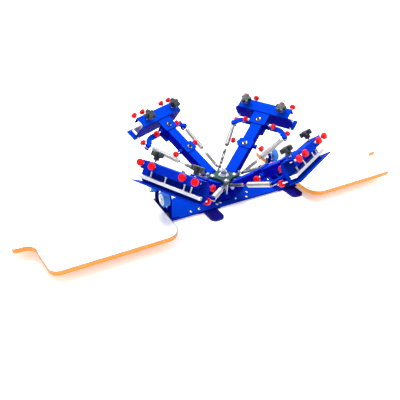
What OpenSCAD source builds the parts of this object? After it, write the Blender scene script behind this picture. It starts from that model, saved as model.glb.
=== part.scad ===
// Tabletop screen printing press with four print arms and two pallets.
// The origin is on the table, under the turret axis; X runs along the base beam.

/* [Base] */
// Length of the base beam
beam_len = 1120; // [1060:10:1300]
// Width of the base beam
beam_w = 142; // [136:1:160]
// Thickness of the base beam
beam_t = 6; // [5:0.5:10]
// Thickness of each outrigger foot
foot_t = 8; // [6:0.5:12]
// Width of a foot outside the beam
foot_w = 60; // [50:1:70]
// Reach of a foot from the centre line of the beam
foot_reach = 142; // [130:1:170]
// Distance of the near pair of feet from the turret axis
foot_near_x = 98; // [90:1:120]
// Distance of the far pair of feet from the turret axis
foot_far_x = 308; // [290:1:340]
// Diameter of the screw-down hole in each foot
foot_hole_d = 9; // [5:0.5:11]

/* [Pallets] */
// Distance from the turret axis to the inner edge of a pallet
pallet_gap = 308; // [306:1:340]
// Length of the wide part of a pallet
pallet_body = 470; // [400:5:520]
// Width of a pallet
pallet_w = 454; // [400:2:500]
// Length of the narrow neck beyond the wide part
neck_len = 82; // [70:1:120]
// Width of the neck
neck_w = 104; // [90:1:130]
// Thickness of the pallet board
board_t = 18; // [12:0.5:20]
// Height of the board's underside above the beam
pallet_lift = 31; // [24:1:32]

/* [Turret] */
// Diameter of the centre post in its bearings
post_d = 30; // [26:1:34]
// Diameter of the threaded end of the centre post
post_thread_d = 18; // [14:1:20]
// Height of the turret pedestal
pedestal_h = 34; // [32:1:36]
// Thickness of the lobed top disc
disc_t = 12; // [8:1:14]
// Radius of the lobe tips of the top disc
disc_r = 62; // [60:1:63]
// Radius of the circle of dome bolts
dome_pcd_r = 47; // [45:1:49]
// Radius of the circle of spring posts
spring_post_r = 68; // [67:1:72]
// Diameter of a spring post
spring_post_d = 8; // [6:0.5:8]
// Turn of the turret, measured to the first arm
turret_turn = 27; // [20:1:34]

/* [Arms] */
// Distance from the turret axis to an arm's pivot pin
pivot_r = 66; // [65:0.5:68]
// Height of the pivot pins above the beam
pivot_h = 79.6; // [78:0.2:81]
// Diameter of a pivot pin
pin_d = 12; // [9:0.5:14]
// Width of an arm tube
arm_w = 52; // [46:1:53]
// Depth of an arm tube
arm_h = 38; // [34:1:39]
// Wall of an arm tube
arm_wall = 3; // [2:0.25:4]
// Length of an arm tube from its pivot
arm_len = 292; // [288:1:300]
// Raised angle of the back right arm
raise_back_right = 34.6; // [28:0.2:40]
// Raised angle of the back left arm
raise_back_left = 33; // [28:0.2:40]
// Raised angle of the front left arm
raise_front_left = 29.8; // [28:0.2:40]
// Raised angle of the front right arm
raise_front_right = 38.9; // [28:0.2:40]

/* [Screen clamps] */
// Gap between the end of an arm tube and the web of its clamp
web_gap = 21.5; // [19:0.5:28]
// Thickness of the clamp's bent sheet
sheet = 4; // [3:0.25:5]
// Depth of the clamp's flanges
flange_depth = 50; // [48:1:60]
// Length of the top flange
top_flange_len = 248; // [240:2:270]
// Length of the lower flange
low_flange_len = 282; // [270:2:300]
// Length of the clamp's web
web_len = 282; // [276:2:300]
// Height of the top flange above the arm's centre line
clamp_top = 29; // [28:0.5:32]
// Overall height of a clamp
clamp_h = 82; // [80:1:92]
// Height of the lip that hangs from the top flange
lip_h = 30; // [26:1:34]
// Width of the aluminium clamp bar
bar_w = 28; // [24:1:30]
// Thickness of the clamp bar
bar_t = 12; // [9:0.5:13]
// Length of the clamp bar
bar_len = 258; // [240:2:264]
// Gap under the clamp bar, where a screen frame is held
frame_gap = 13; // [11:0.5:15]
// Spread of the two star knobs on a clamp
star_spread = 170; // [160:2:180]
// Diameter of a star knob's screw
star_screw_d = 8; // [6:0.5:10]
// Diameter across the lobes of a star knob
star_d = 50; // [40:1:54]

/* [Thumb screws] */
// Diameter of a red thumb knob
thumb_d = 26; // [22:1:28]
// Thickness of a red thumb knob
thumb_t = 12; // [9:0.5:14]
// Diameter of a thumb screw's shank
thumb_shank_d = 6; // [4:0.5:7]
// Travel of a clamp to each side on its arm
shift_travel = 5; // [3:0.5:5]

/* [Gates] */
// Distance from the turret axis to the back of a gate bracket
gate_x = 276; // [270:1:277]
// Spread of the two rollers of a gate
gate_spread = 118; // [118:1:126]
// Height of the roller axles above the beam
gate_h = 98; // [96:1:102]
// Diameter of a roller
roller_d = 60; // [54:1:60]
// Width of a roller
roller_w = 25; // [20:1:25]
// Diameter of a roller axle
axle_d = 10; // [8:0.5:12]

/* [Springs] */
// Diameter of the modelled spring wire
wire_d = 5; // [4:0.25:5.5]
// Mean radius of a spring's curls
curl_r = 8.5; // [7.5:0.25:9]
// Curls in each spring
curls = 10; // [6:1:10]
// Length of the curled part of a spring
curl_len = 104; // [96:1:112]
// Diameter of the turnbuckle on a spring
buckle_d = 12; // [9:0.5:13]
// Length of the turnbuckle on a spring
buckle_len = 64; // [50:1:68]

/* [Fits] */
// Radial running clearance of a pin or post
running = 0.05; // [0.02:0.01:0.1]
// Gap between faces of pieces that move past each other
slip = 0.3; // [0.3:0.05:0.5]
// Radial clearance of a bolt in its hole
bolt_clear = 0.2; // [0.1:0.05:0.5]

/* [Hidden] */
$fn = 48;
ARMS = ["back_right", "back_left", "front_left", "front_right"];
ARM_PIECES = ["arm_tube", "horn_bracket", "arm_screws", "springs", "screen_clamp",
              "lip_screws", "clamp_bar", "star_knob_a", "star_knob_b"];
ROLLERS = ["right_back", "left_back", "left_front", "right_front"];

blue = [0.03, 0.13, 0.85];
navy = [0.08, 0.06, 0.5];
red = [0.9, 0.03, 0.05];
white = [0.97, 0.97, 0.96];
black = [0.08, 0.09, 0.1];
chrome = [0.85, 0.86, 0.88];
steel = [0.62, 0.64, 0.67];
cast = [0.12, 0.28, 0.28];

// Heights in the part's frame
beam_top = foot_t + beam_t;
board_z = beam_top + pallet_lift;
pedestal_top = beam_top + pedestal_h;
bearing_t = 4;
head_z = pedestal_top + bearing_t + slip;
head_t = 9.7;
head_top = head_z + head_t;
pivot_z = beam_top + pivot_h;
disc_z = beam_top + 87;
disc_top = disc_z + disc_t;
gate_z = beam_top + gate_h;

// Beam and its bolts
beam_corner_r = 12;
bolt_d = 8;
bolt_hole_d = bolt_d + 2 * bolt_clear;
bolt_head_d = 14;
bolt_head_h = 4;
near_bolt = [43, 50];
far_bolt = [18, 27];
foot_root_w = near_bolt[0] * 2 + 18;
foot_root_inner = 16;
foot_root_outer = beam_w / 2 - 5;
foot_tip_r = 22;
foot_hole_y = foot_reach - 15;
foot_places = [[-foot_near_x, -1], [foot_far_x, -1], [foot_near_x, 1], [-foot_far_x, 1]];
function foot_bolt(x) = abs(x) > 200 ? far_bolt : near_bolt;
backing_half = foot_near_x - foot_root_w / 2 - 1;
backing_half_y = 54;
backing_bolts = [for (x = [-1, 1], y = [-1, 1]) [x * (backing_half - 8), y * (backing_half_y - 8)]];
foot_bolts = concat(backing_bolts, [for (f = foot_places, s = [-1, 1])
    [f[0] + s * foot_bolt(f[0])[0], f[1] * foot_bolt(f[0])[1]]]);
stiffener_bolts = [[-180, -52], [180, 52], [109, -26], [-109, 26], [87, -56], [-87, 56]];

// Pallet outline
pallet_inner_r = 55;
pallet_outer_r = 35;
shoulder_rise = 10;
shoulder_half = neck_w / 2 + 60;
neck_fillet_r = 40;
neck_end_r = 12;

// Pallet support, a hat section between beam and board
hat_w = 80;
hat_flange = 26;
hat_t = 4;
hat_len = 220;
hat_x = pallet_gap + 22;
hat_bolt_y = hat_w / 2 + hat_flange / 2;
hat_bolts = [for (s = [-1, 1], x = [30, hat_len - 30], y = [-1, 1]) [s * (hat_x + x), y * hat_bolt_y]];

// Turret head
hub_r = 28;
cheek_t = 6;
cheek_gap = arm_w / 2 + 1.5;
cheek_in = 46;
cheek_r = pin_d / 2 + 6;
cheek_out = pivot_r + cheek_r;
ear_w = 20;
ear_r = spring_post_r + 8;
lobe_cut_r = 60;
lobe_cut_at = 100;
dome_bolt_d = 10;
spacer_d = 14;
dome_washer_d = 19;
dome_washer_t = 1.5;
dome_r = 9;
dome_h = 5;
pin_head_d = 18;
pin_head_t = 4;
post_collar_z = disc_top - 3;
post_cap_z = disc_top + 10;
post_cap_t = 3;
post_cap_d = spring_post_d + 5;
post_collar_d = min(post_cap_d, 2 * (spring_post_r - disc_r) - 1);
post_washer_t = 2.5;
post_race_t = 4;
post_nut_t = 10;
post_top = disc_top + slip + post_washer_t * 2 + post_race_t + post_nut_t + 6;

// Arm tube, horns and screws, measured along the arm from its pivot
tube_back = 11;
tube_solid = 14;
collar_u = arm_len / 2;
collar_len = 42;
collar_half_w = 34;
plate_t = 5;
mid_bolt_u = collar_u - 2;
head_bolt_u = arm_len - 16;
mid_screw_u = collar_u + 7.5;
head_screw_u = arm_len - 18.5;
boss_r = 10;
boss_out = 46;
thumb_at = 71;
thumb_neck_d = 14;
thumb_neck_t = 5;
socket_d = 14;
socket_h = 6;
socket_hex_d = 7;
socket_hex_depth = 4;
socket_shank_d = 8;
socket_shank_len = 14;
washer_d = 24;
washer_t = 1.7;
horn_t = 8;
horn_r = 35;
horn_u = arm_len - 49;
horn_side = 88;
horn_w = 22;
horn_angle = 68;
horn_bar_w = 24;
horn_pad_half = 34;
horn_boss_r = 11;
horn_tip = [horn_u + 12, horn_side + 41];
horn_boss_drop = 17;
tip_screw_n = -arm_h / 2 - 18;
web_u = arm_len + web_gap;
tip_knob_u = web_u - 31.5;

// Screen clamp, in the same directions as the arm
clamp_low = clamp_top - clamp_h;
web_corner_r = 28;
flange_end = web_u + flange_depth;
tongue_u = arm_len - 38;
tongue_half_w = 38;
tongue_corner_r = 10;
tongue_n = arm_h / 2 + slip;
cheek_plate_t = 5;
cheek_plate_u = arm_len - 34;
cheek_plate_len = 32;
cheek_plate_low = -10;
screw_line_u = web_u + 24.5;
weld_nut_d = 16;
weld_nut_t = 6;
clamp_washer_t = 2;
lip_screw_at = [-115, -64, 64, 115];
lip_screw_n = clamp_top - 10;
lip_knob_out = 14;
lip_shank_in = 16;
bar_low = clamp_low + sheet + frame_gap;
bar_top = bar_low + bar_t;
stud_at = [-23, 57];
stud_d = 5;
stud_h = 26;
stud_nut_d = 10;
stud_nut_t = 6;
bar_groove_w = 6;
bar_groove_depth = 2.5;
bar_end_hole_d = 6;
bar_end_hole_depth = 12;
star_boss_d = 22;
star_boss_h = 12.5;
star_head_h = 18;
star_lift = 11;
star_lobe_d = 17;
star_top_step = 1.5;

// Gates
bracket_t = 5;
upright_w = 30;
bracket_half_w = gate_spread / 2 + upright_w / 2;
bracket_web_h = 36;
bracket_base_len = 41;
bracket_base_half_w = 66;
gate_bolt_y = [-15, 15];
gate_bolt_in = 20;
axle_head_d = 16;
axle_head_t = 6;
axle_spacer_t = 6.7;
tyre_t = 8;
tyre_round = 3;
roller_web_t = 10;
roller_boss_r = 10;
roller_rim_t = 4;
block_w = 16;
block_h = 26;
block_len = 16;
latch_w = 12;
latch_h = 46;
latch_t = 5;
latch_drop = 8;

// Springs
wire_sides = 6;
curl_rings = 8;
ramp_rings = 4;
hook_gap = 0.6;
buckle_end = 18;
buckle_taper = 2;
buckle_bore = wire_d + 0.3;
buckle_slot = [4, 40];
upper_hook_z = disc_top + 4;
lower_hook_z = disc_top - 9.5;
horn_hook_n = -arm_h / 2 - 11;

function raise_of(a) = [raise_back_right, raise_back_left, raise_front_left, raise_front_right][a];
function turn_of(a) = turret_turn + 90 * a;
function arm_point(a, p) =
    let (b = raise_of(a), c = turn_of(a),
         r = pivot_r + p[0] * cos(b) - p[2] * sin(b),
         z = pivot_z + p[0] * sin(b) + p[2] * cos(b))
    [r * cos(c) - p[1] * sin(c), r * sin(c) + p[1] * cos(c), z];

// Places children in the frame of one raised arm: X along it, Y across it, Z up from it
module on_arm(a) {
    rotate([0, 0, turn_of(a)]) translate([pivot_r, 0, pivot_z]) rotate([0, -raise_of(a), 0]) children();
}

// Extrudes an outline drawn as across and up, along the arm from one distance to another
module along(from, to) {
    translate([from, 0, 0]) rotate([90, 0, 90]) linear_extrude(to - from) children();
}

// Extrudes an outline drawn as along and up, across the arm from one distance to another
module across(from, to) {
    translate([0, to, 0]) rotate([90, 0, 0]) linear_extrude(to - from) children();
}

module rod_across(d, from, to) {
    translate([0, from, 0]) rotate([-90, 0, 0]) cylinder(d = d, h = to - from);
}

module rod_along(d, from, to) {
    translate([from, 0, 0]) rotate([0, 90, 0]) cylinder(d = d, h = to - from);
}

module round_rect(l, w, r) {
    square([l - 2 * r, w], center = true);
    square([l, w - 2 * r], center = true);
    for (x = [-1, 1], y = [-1, 1]) translate([x * (l / 2 - r), y * (w / 2 - r)]) circle(r);
}

module ring2d(outer, inner) {
    difference() {
        circle(outer);
        circle(inner);
    }
}

// Base

module base_beam() color(blue) translate([0, 0, foot_t]) linear_extrude(beam_t) difference() {
    round_rect(beam_len, beam_w, beam_corner_r);
    for (p = concat(foot_bolts, stiffener_bolts, hat_bolts)) translate(p) circle(d = bolt_hole_d);
    for (s = [-1, 1], y = gate_bolt_y) translate([s * (gate_x - gate_bolt_in), y]) circle(d = bolt_hole_d);
}

module foot_outline() {
    translate([-foot_root_w / 2, -foot_root_outer]) {
        square([foot_root_w, foot_root_outer - foot_root_inner]);
    }
    translate([-foot_w / 2, -foot_reach + foot_tip_r]) {
        square([foot_w, foot_reach - foot_tip_r - foot_root_inner]);
    }
    translate([-foot_w / 2 + foot_tip_r, -foot_reach]) square([foot_w - 2 * foot_tip_r, foot_tip_r]);
    for (s = [-1, 1]) translate([s * (foot_w / 2 - foot_tip_r), -foot_reach + foot_tip_r]) {
        circle(foot_tip_r);
    }
}

// Four feet bolted under the beam, and a backing plate under the turret
module outrigger_feet() color(navy) {
    linear_extrude(foot_t) difference() {
        square([2 * backing_half, 2 * backing_half_y], center = true);
        for (p = backing_bolts) translate(p) circle(d = bolt_hole_d);
    }
    for (f = foot_places) translate([f[0], 0, 0]) mirror([0, f[1] > 0 ? 1 : 0, 0]) {
        linear_extrude(foot_t) difference() {
            foot_outline();
            translate([0, -foot_hole_y]) circle(d = foot_hole_d);
            for (s = [-1, 1]) translate([s * foot_bolt(f[0])[0], -foot_bolt(f[0])[1]]) {
                circle(d = bolt_hole_d);
            }
        }
    }
}

module dome_bolt(z, depth) {
    translate([0, 0, z - depth]) cylinder(d = bolt_d, h = depth);
    translate([0, 0, z]) intersection() {
        translate([0, 0, bolt_head_h - bolt_head_d / 2]) sphere(d = bolt_head_d);
        cylinder(d = bolt_head_d, h = bolt_head_h + 1);
    }
}

module beam_bolts() color(chrome) {
    for (p = foot_bolts) translate(p) dome_bolt(beam_top, beam_t + foot_t - 2);
    for (p = stiffener_bolts) translate(p) dome_bolt(beam_top, beam_t);
    for (p = hat_bolts) translate(p) dome_bolt(beam_top + hat_t, beam_t + hat_t);
    for (s = [-1, 1], y = gate_bolt_y) {
        translate([s * (gate_x - gate_bolt_in), y]) dome_bolt(beam_top + bracket_t, beam_t + bracket_t);
    }
}

// One pallet board drawn from its inner edge outwards, with its soft corners, shoulders and neck
module pallet_outline() {
    half = pallet_w / 2;
    translate([pallet_inner_r, -half]) square([pallet_body - pallet_inner_r - pallet_outer_r, pallet_w]);
    translate([0, -half + pallet_inner_r]) square([pallet_inner_r, pallet_w - 2 * pallet_inner_r]);
    translate([pallet_body - pallet_outer_r, -half + pallet_outer_r]) {
        square([pallet_outer_r, pallet_w - 2 * pallet_outer_r]);
    }
    for (s = [-1, 1]) {
        translate([pallet_inner_r, s * (half - pallet_inner_r)]) circle(pallet_inner_r);
        translate([pallet_body - pallet_outer_r, s * (half - pallet_outer_r)]) circle(pallet_outer_r);
    }
    polygon([[pallet_body, -half + pallet_outer_r], [pallet_body + shoulder_rise, -shoulder_half],
             [pallet_body + shoulder_rise, shoulder_half], [pallet_body, half - pallet_outer_r]]);
    for (s = [-1, 1]) difference() {
        translate([pallet_body + shoulder_rise - 1, s > 0 ? neck_w / 2 - 1 : -neck_w / 2 - neck_fillet_r]) {
            square([neck_fillet_r + 1, neck_fillet_r + 1]);
        }
        translate([pallet_body + shoulder_rise + neck_fillet_r, s * (neck_w / 2 + neck_fillet_r)]) {
            circle(neck_fillet_r);
        }
    }
    translate([pallet_body, -neck_w / 2]) square([neck_len - neck_end_r, neck_w]);
    translate([pallet_body + neck_len - neck_end_r, -neck_w / 2 + neck_end_r]) {
        square([neck_end_r, neck_w - 2 * neck_end_r]);
    }
    for (s = [-1, 1]) translate([pallet_body + neck_len - neck_end_r, s * (neck_w / 2 - neck_end_r)]) {
        circle(neck_end_r);
    }
}

module pallet() color(white) translate([pallet_gap, 0, board_z]) linear_extrude(board_t) pallet_outline();
module pallet_left() rotate([0, 0, 180]) pallet();
module pallet_right() pallet();

module pallet_support() color(blue) translate([0, 0, beam_top]) difference() {
    along(hat_x, hat_x + hat_len) {
        translate([-hat_w / 2, pallet_lift - hat_t]) square([hat_w, hat_t]);
        for (s = [0, 1]) mirror([s, 0]) {
            translate([hat_w / 2 - hat_t, 0]) square([hat_t, pallet_lift]);
            translate([hat_w / 2 - hat_t, 0]) square([hat_flange + hat_t, hat_t]);
        }
    }
    for (x = [30, hat_len - 30], y = [-1, 1]) translate([hat_x + x, y * hat_bolt_y, -1]) {
        cylinder(d = bolt_hole_d, h = hat_t + 2);
    }
}
module pallet_support_left() rotate([0, 0, 180]) pallet_support();
module pallet_support_right() pallet_support();

// Gates: two rollers each, with room between them for a lowered arm

module gate_bracket() color(blue) difference() {
    union() {
        along(gate_x, gate_x + bracket_t) {
            translate([-bracket_half_w, beam_top]) square([2 * bracket_half_w, bracket_web_h]);
            for (s = [-1, 1]) translate([s * gate_spread / 2, 0]) {
                translate([-upright_w / 2, beam_top]) square([upright_w, gate_h]);
                translate([0, gate_z]) circle(d = upright_w);
            }
        }
        translate([gate_x + bracket_t - bracket_base_len, -bracket_base_half_w, beam_top]) {
            cube([bracket_base_len, 2 * bracket_base_half_w, bracket_t]);
        }
    }
    for (s = [-1, 1]) translate([0, s * gate_spread / 2, gate_z]) {
        rod_along(axle_d + 2 * running, gate_x - 1, gate_x + bracket_t + 1);
    }
    for (y = gate_bolt_y) translate([gate_x - gate_bolt_in, y, beam_top - 1]) {
        cylinder(d = bolt_hole_d, h = bracket_t + 2);
    }
}
module gate_bracket_left() rotate([0, 0, 180]) gate_bracket();
module gate_bracket_right() gate_bracket();

roller_x = gate_x + bracket_t + axle_spacer_t + slip;

module gate_axles() color(steel) {
    for (q = [0, 180], s = [-1, 1]) rotate([0, 0, q]) translate([0, s * gate_spread / 2, gate_z]) {
        rod_along(axle_d, gate_x, roller_x + roller_w + slip + axle_head_t);
        translate([gate_x - axle_head_t, 0, 0]) rotate([0, 90, 0]) {
            cylinder(d = axle_head_d, h = axle_head_t, $fn = 6);
        }
        rod_along(axle_head_d, gate_x + bracket_t, gate_x + bracket_t + axle_spacer_t);
        translate([roller_x + roller_w + slip, 0, 0]) rotate([0, 90, 0]) {
            cylinder(d = axle_head_d, h = axle_head_t, $fn = 6);
        }
    }
}

module gate_blocks() color(black) {
    for (q = [0, 180], s = [-1, 1]) rotate([0, 0, q]) translate([gate_x, s * gate_spread / 2, beam_top]) {
        translate([bracket_t, -block_w / 2, 0]) cube([block_len, block_w, block_h]);
        translate([-latch_t, -latch_w / 2, gate_h - axle_head_d / 2 - latch_drop - latch_h / 2]) {
            cube([latch_t, latch_w, latch_h / 2]);
        }
    }
}

// A gate roller: a rubber tyre on an aluminium wheel with a recessed web
module roller() {
    tyre_in = roller_d / 2 - tyre_t;
    color([0.1, 0.4, 0.95]) rotate_extrude() translate([tyre_in, 0]) {
        translate([0, tyre_round]) square([tyre_t, roller_w - 2 * tyre_round]);
        square([tyre_t - tyre_round, roller_w]);
        translate([tyre_t - tyre_round, tyre_round]) circle(tyre_round);
        translate([tyre_t - tyre_round, roller_w - tyre_round]) circle(tyre_round);
    }
    color(chrome) rotate_extrude() {
        translate([tyre_in - roller_rim_t, 0]) square([roller_rim_t, roller_w]);
        translate([axle_d / 2 + running, (roller_w - roller_web_t) / 2]) {
            square([tyre_in - axle_d / 2 - running - 1, roller_web_t]);
        }
        translate([axle_d / 2 + running, 0]) square([roller_boss_r - axle_d / 2 - running, roller_w]);
    }
}

module gate_roller(i) {
    q = i == 0 || i == 3 ? 0 : 180;
    side = i == 0 || i == 2 ? 1 : -1;
    rotate([0, 0, q]) translate([roller_x, side * gate_spread / 2, gate_z]) rotate([0, 90, 0]) roller();
}

// Turret

module turret_pedestal() color(blue) translate([0, 0, beam_top]) rotate_extrude() polygon([
    [post_d / 2 + running, 0], [46, 0], [46, 6], [36, pedestal_h - 6], [36, pedestal_h],
    [post_d / 2 + running, pedestal_h]]);

module centre_post() color(steel) {
    translate([0, 0, beam_top]) cylinder(d = post_d, h = disc_top + slip - beam_top);
    translate([0, 0, disc_top]) cylinder(d = post_thread_d, h = post_top - disc_top);
}

module thrust_bearing() color(steel) translate([0, 0, pedestal_top]) rotate_extrude() difference() {
    translate([post_d / 2 + 2, 0]) square([15, bearing_t]);
    translate([post_d / 2 + 17, bearing_t / 2]) circle(bearing_t / 4);
}

module post_nut() color(chrome) translate([0, 0, disc_top + slip]) difference() {
    union() {
        cylinder(d = 42, h = post_washer_t);
        cylinder(d = 34, h = post_washer_t + post_race_t);
        cylinder(d = 30, h = 2 * post_washer_t + post_race_t);
        cylinder(d = 28, h = 2 * post_washer_t + post_race_t + post_nut_t, $fn = 6);
    }
    translate([0, 0, -1]) cylinder(d = post_thread_d + 2 * running, h = 40);
}

module cheek_outline() {
    translate([cheek_in, head_top]) square([cheek_out - cheek_in, pivot_z - head_top]);
    translate([pivot_r, pivot_z]) circle(cheek_r);
}

// The turning head: a cross-shaped plate, a bearing tube and a pair of cheeks for each arm
module turret_head() color(blue) rotate([0, 0, turret_turn]) difference() {
    union() {
        translate([0, 0, head_z]) linear_extrude(head_t) {
            circle(disc_r);
            for (k = [0, 1]) rotate(90 * k) {
                square([2 * cheek_out + 4, 2 * (cheek_gap + cheek_t)], center = true);
            }
            for (k = [0:3]) rotate(45 + 90 * k) {
                translate([0, -ear_w / 2]) square([ear_r - ear_w / 2, ear_w]);
                translate([ear_r - ear_w / 2, 0]) circle(d = ear_w);
            }
        }
        translate([0, 0, head_z]) cylinder(r = hub_r, h = disc_z - head_z);
        for (k = [0:3], s = [0, 1]) rotate([0, 0, 90 * k]) mirror([0, s, 0]) {
            across(cheek_gap, cheek_gap + cheek_t) cheek_outline();
        }
    }
    translate([0, 0, head_z - 1]) cylinder(d = post_d + 2 * running, h = disc_z - head_z + 2);
    for (k = [0:3]) rotate([0, 0, 90 * k]) translate([pivot_r, 0, pivot_z]) {
        rod_across(pin_d + 2 * running, -cheek_gap - cheek_t - 1, cheek_gap + cheek_t + 1);
    }
}

module top_disc() color(cast) translate([0, 0, disc_z]) linear_extrude(disc_t) {
    rotate(turret_turn) difference() {
        circle(disc_r);
        circle(d = post_d + 2 * running);
        for (k = [0:3]) rotate(90 * k) {
            translate([lobe_cut_at, 0]) circle(lobe_cut_r, $fn = 96);
            rotate(45) translate([dome_pcd_r, 0]) circle(d = dome_bolt_d + 2 * bolt_clear);
        }
    }
}

module dome_bolts() color(chrome) for (k = [0:3]) rotate([0, 0, turret_turn + 45 + 90 * k]) {
    translate([dome_pcd_r, 0, 0]) {
        translate([0, 0, head_top]) cylinder(d = spacer_d, h = disc_z - head_top);
        translate([0, 0, disc_z - 1]) cylinder(d = dome_bolt_d, h = disc_t + 1);
        translate([0, 0, disc_top]) cylinder(d = dome_washer_d, h = dome_washer_t);
        translate([0, 0, disc_top + dome_washer_t]) intersection() {
            translate([0, 0, dome_h - dome_r]) sphere(dome_r);
            cylinder(r = dome_r, h = dome_h + 1);
        }
    }
}

module pivot_pins() color(chrome) for (k = [0:3]) rotate([0, 0, turret_turn + 90 * k]) {
    translate([pivot_r, 0, pivot_z]) {
        half = cheek_gap + cheek_t;
        rod_across(pin_d, -half, half);
        rod_across(pin_head_d, half, half + pin_head_t);
        rod_across(pin_head_d, -half - pin_head_t, -half);
    }
}

module spring_posts() color(steel) for (k = [0:3]) rotate([0, 0, turret_turn + 45 + 90 * k]) {
    translate([spring_post_r, 0, 0]) {
        translate([0, 0, head_top]) cylinder(d = spring_post_d, h = post_cap_z - head_top);
        translate([0, 0, post_collar_z]) cylinder(d = post_collar_d, h = dome_washer_t);
        translate([0, 0, post_cap_z]) cylinder(d = post_cap_d, h = post_cap_t);
    }
}

// Arms

module arm_tube(a) color(blue) on_arm(a) difference() {
    union() {
        intersection() {
            along(-tube_back, arm_len) round_rect(arm_w, arm_h, arm_wall + 1);
            across(-arm_w, arm_w) union() {
                translate([0, -arm_h / 2]) square([arm_len, arm_h]);
                translate([-tube_back, -arm_h / 2 + tube_back]) {
                    square([tube_back + 1, arm_h - 2 * tube_back]);
                }
                for (s = [-1, 1]) translate([0, s * (arm_h / 2 - tube_back)]) circle(tube_back);
            }
        }
        translate([collar_u, 0, arm_h / 2 - 1]) linear_extrude(plate_t + 1) {
            round_rect(collar_len, 2 * collar_half_w, 8);
        }
        for (s = [0, 1]) mirror([0, s, 0]) translate([mid_screw_u, 0, 0]) {
            rod_across(2 * boss_r, arm_w / 2 - 1, boss_out);
            translate([-boss_r, arm_w / 2 - 1, 0]) {
                cube([2 * boss_r, collar_half_w - arm_w / 2 + 1, arm_h / 2]);
            }
        }
    }
    along(tube_solid, arm_len + 1) round_rect(arm_w - 2 * arm_wall, arm_h - 2 * arm_wall, 1);
    rod_across(pin_d + 2 * running, -arm_w, arm_w);
    for (u = [mid_bolt_u, head_bolt_u]) translate([u, 0, 0]) {
        cylinder(d = socket_shank_d + 2 * running, h = arm_h);
    }
    for (s = [0, 1]) mirror([0, s, 0]) translate([mid_screw_u, 0, 0]) {
        rod_across(thumb_shank_d + 2 * running, arm_w / 2, boss_out + 1);
    }
}

// Horn plate under the tube: a bar across with two curved horns that end in bosses
module horn_bracket(a) color(blue) on_arm(a) difference() {
    union() {
        translate([0, 0, -arm_h / 2 - horn_t]) linear_extrude(horn_t) {
            translate([horn_u + horn_r - horn_bar_w / 2, -horn_side]) square([horn_bar_w, 2 * horn_side]);
            translate([horn_u + horn_r - horn_bar_w, 0]) round_rect(2 * horn_bar_w, 2 * horn_pad_half, 6);
            for (s = [0, 1]) mirror([0, s]) translate([horn_u, horn_side]) intersection() {
                ring2d(horn_r + horn_w / 2, horn_r - horn_w / 2);
                polygon([[0, -1], [2 * horn_r, -1], [2 * horn_r, 2 * horn_r],
                         [2 * horn_r / tan(horn_angle), 2 * horn_r]]);
            }
        }
        for (s = [-1, 1]) translate([horn_tip[0], s * horn_tip[1], -arm_h / 2 - horn_t - horn_boss_drop]) {
            cylinder(r = horn_boss_r, h = horn_t + horn_boss_drop);
        }
    }
    for (s = [-1, 1]) translate([0, s * horn_tip[1], tip_screw_n]) {
        along(horn_tip[0] - horn_boss_r - 1, horn_tip[0] + horn_boss_r + 1) {
            circle(d = thumb_shank_d + 2 * running);
        }
    }
}

// A red thumb knob with ten scallops and a neck; its screw runs down from it
module thumb_knob(neck) {
    linear_extrude(thumb_t) difference() {
        circle(d = thumb_d);
        for (k = [0:9]) rotate(36 * k) translate([thumb_d / 2 + 1.2, 0]) circle(2.4, $fn = 16);
    }
    translate([0, 0, -neck]) cylinder(d = thumb_neck_d, h = neck);
}

module thumb_screw_across(s, from, at) {
    mirror([0, s > 0 ? 0 : 1, 0]) {
        rod_across(thumb_shank_d, from, at);
        translate([0, at - thumb_t / 2, 0]) rotate([-90, 0, 0]) thumb_knob(thumb_neck_t);
    }
}

module socket_screw() {
    translate([0, 0, -socket_shank_len]) cylinder(d = socket_shank_d, h = socket_shank_len);
    cylinder(d = washer_d, h = washer_t);
    difference() {
        cylinder(d = socket_d, h = washer_t + socket_h);
        translate([0, 0, washer_t + socket_h - socket_hex_depth]) {
            cylinder(d = socket_hex_d, h = socket_hex_depth + 1, $fn = 6);
        }
    }
}

module arm_screws(a) color(red) on_arm(a) {
    translate([mid_bolt_u, 0, arm_h / 2 + plate_t]) socket_screw();
    translate([head_bolt_u, 0, tongue_n + plate_t + slip]) socket_screw();
    for (u = [mid_screw_u, head_screw_u], s = [-1, 1]) translate([u, 0, 0]) {
        thumb_screw_across(s, arm_w / 2 + slip, thumb_at);
    }
    for (s = [-1, 1]) translate([0, s * horn_tip[1], tip_screw_n]) {
        rod_along(thumb_shank_d, horn_tip[0] - horn_boss_r, web_u - slip);
        translate([tip_knob_u - thumb_t / 2, 0, 0]) rotate([0, 90, 0]) thumb_knob(thumb_neck_t);
    }
}

// Screen clamp: one bent sheet with a tongue that lies on the arm, under its head screw

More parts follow.
